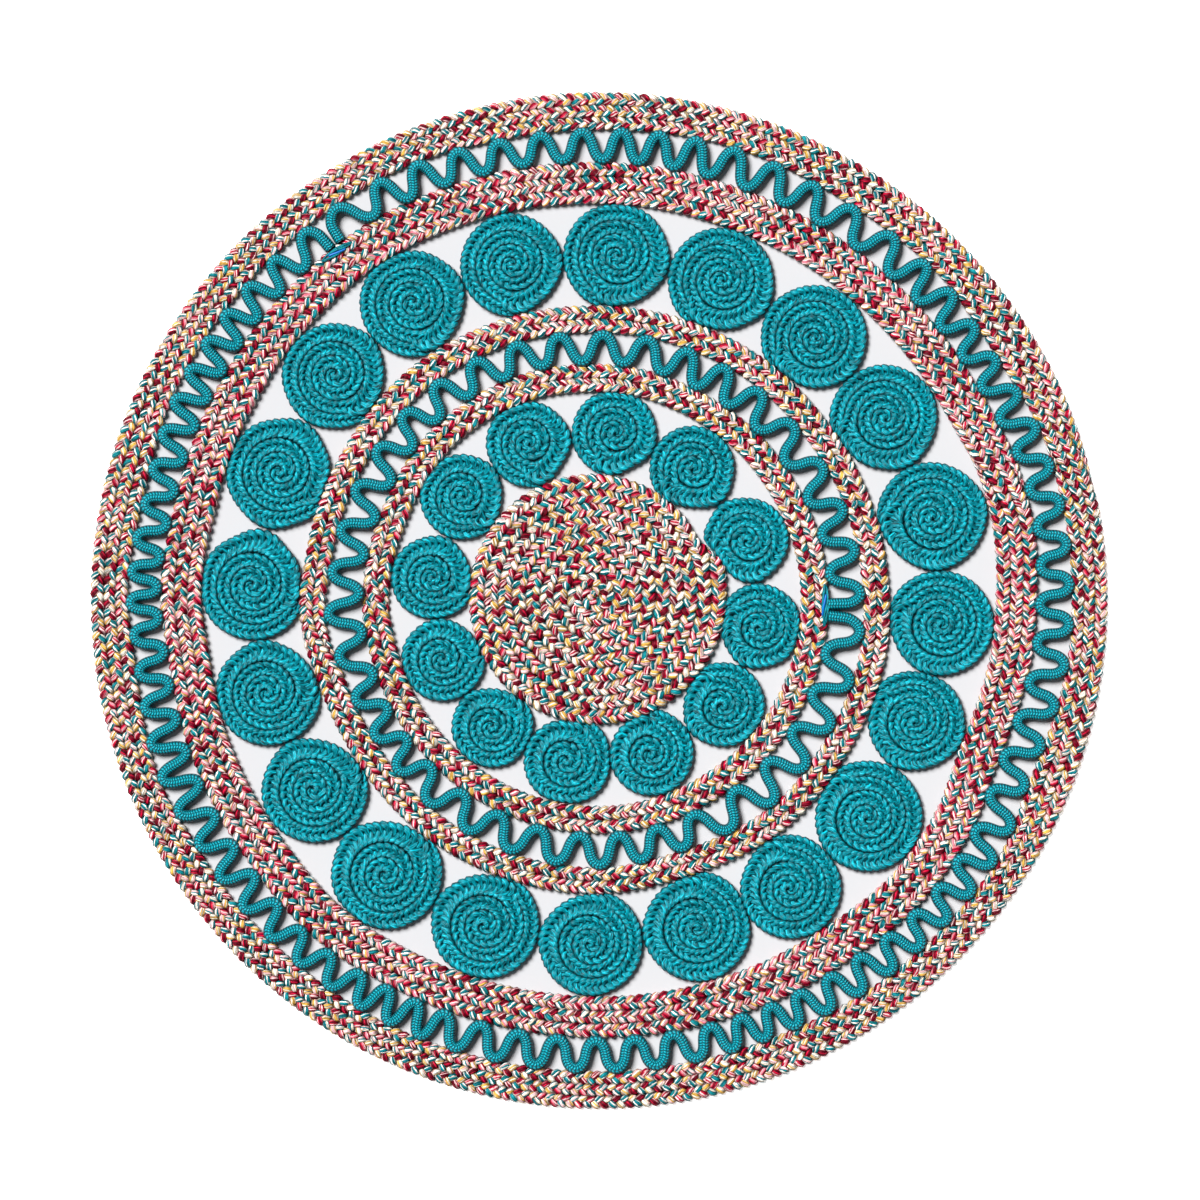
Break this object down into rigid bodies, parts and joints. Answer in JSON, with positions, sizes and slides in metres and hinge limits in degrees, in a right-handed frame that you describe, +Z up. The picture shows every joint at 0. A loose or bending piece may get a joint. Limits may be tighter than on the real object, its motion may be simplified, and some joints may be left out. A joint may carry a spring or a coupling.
{
  "type": "round braided rug",
  "caption": "Round flat floor rug: a coiled braided disc, rings of coiled braided rosettes, and braided bands joined by zigzag cords.",
  "frame": {"origin": "the middle of the rug's round outer edge, on the floor, level with the rug's underside", "axes": "+Z up through the rug's thickness; +X and +Y lie in the rug's plane, with +Y towards the edge that is at the top of the picture"},
  "size_m": [1.218, 1.218, 0.013],
  "materials": {
    "mixed_yarn": "matt cotton plait of dark red, pink, teal, mustard and cream yarns",
    "teal_yarn": "matt teal cotton plait with a faint sheen",
    "teal_cord": "teal cord in a finely braided cotton sheath"
  },
  "bodies": {
    "root": {"centre_disc": "mixed_yarn", "small_rosette_01": "teal_yarn", "small_rosette_02": "teal_yarn", "small_rosette_03": "teal_yarn", "small_rosette_04": "teal_yarn", "small_rosette_05": "teal_yarn", "small_rosette_06": "teal_yarn", "small_rosette_07": "teal_yarn", "small_rosette_08": "teal_yarn", "small_rosette_09": "teal_yarn", "small_rosette_10": "teal_yarn", "small_rosette_11": "teal_yarn", "small_rosette_12": "teal_yarn", "band_a": "mixed_yarn", "inner_cord": "teal_cord", "band_b": "mixed_yarn", "large_rosette_01": "teal_yarn", "large_rosette_02": "teal_yarn", "large_rosette_03": "teal_yarn", "large_rosette_04": "teal_yarn", "large_rosette_05": "teal_yarn", "large_rosette_06": "teal_yarn", "large_rosette_07": "teal_yarn", "large_rosette_08": "teal_yarn", "large_rosette_09": "teal_yarn", "large_rosette_10": "teal_yarn", "large_rosette_11": "teal_yarn", "large_rosette_12": "teal_yarn", "large_rosette_13": "teal_yarn", "large_rosette_14": "teal_yarn", "large_rosette_15": "teal_yarn", "large_rosette_16": "teal_yarn", "large_rosette_17": "teal_yarn", "large_rosette_18": "teal_yarn", "large_rosette_19": "teal_yarn", "large_rosette_20": "teal_yarn", "band_c": "mixed_yarn", "outer_cord": "teal_cord", "band_d": "mixed_yarn"}
  },
  "joints": []
}
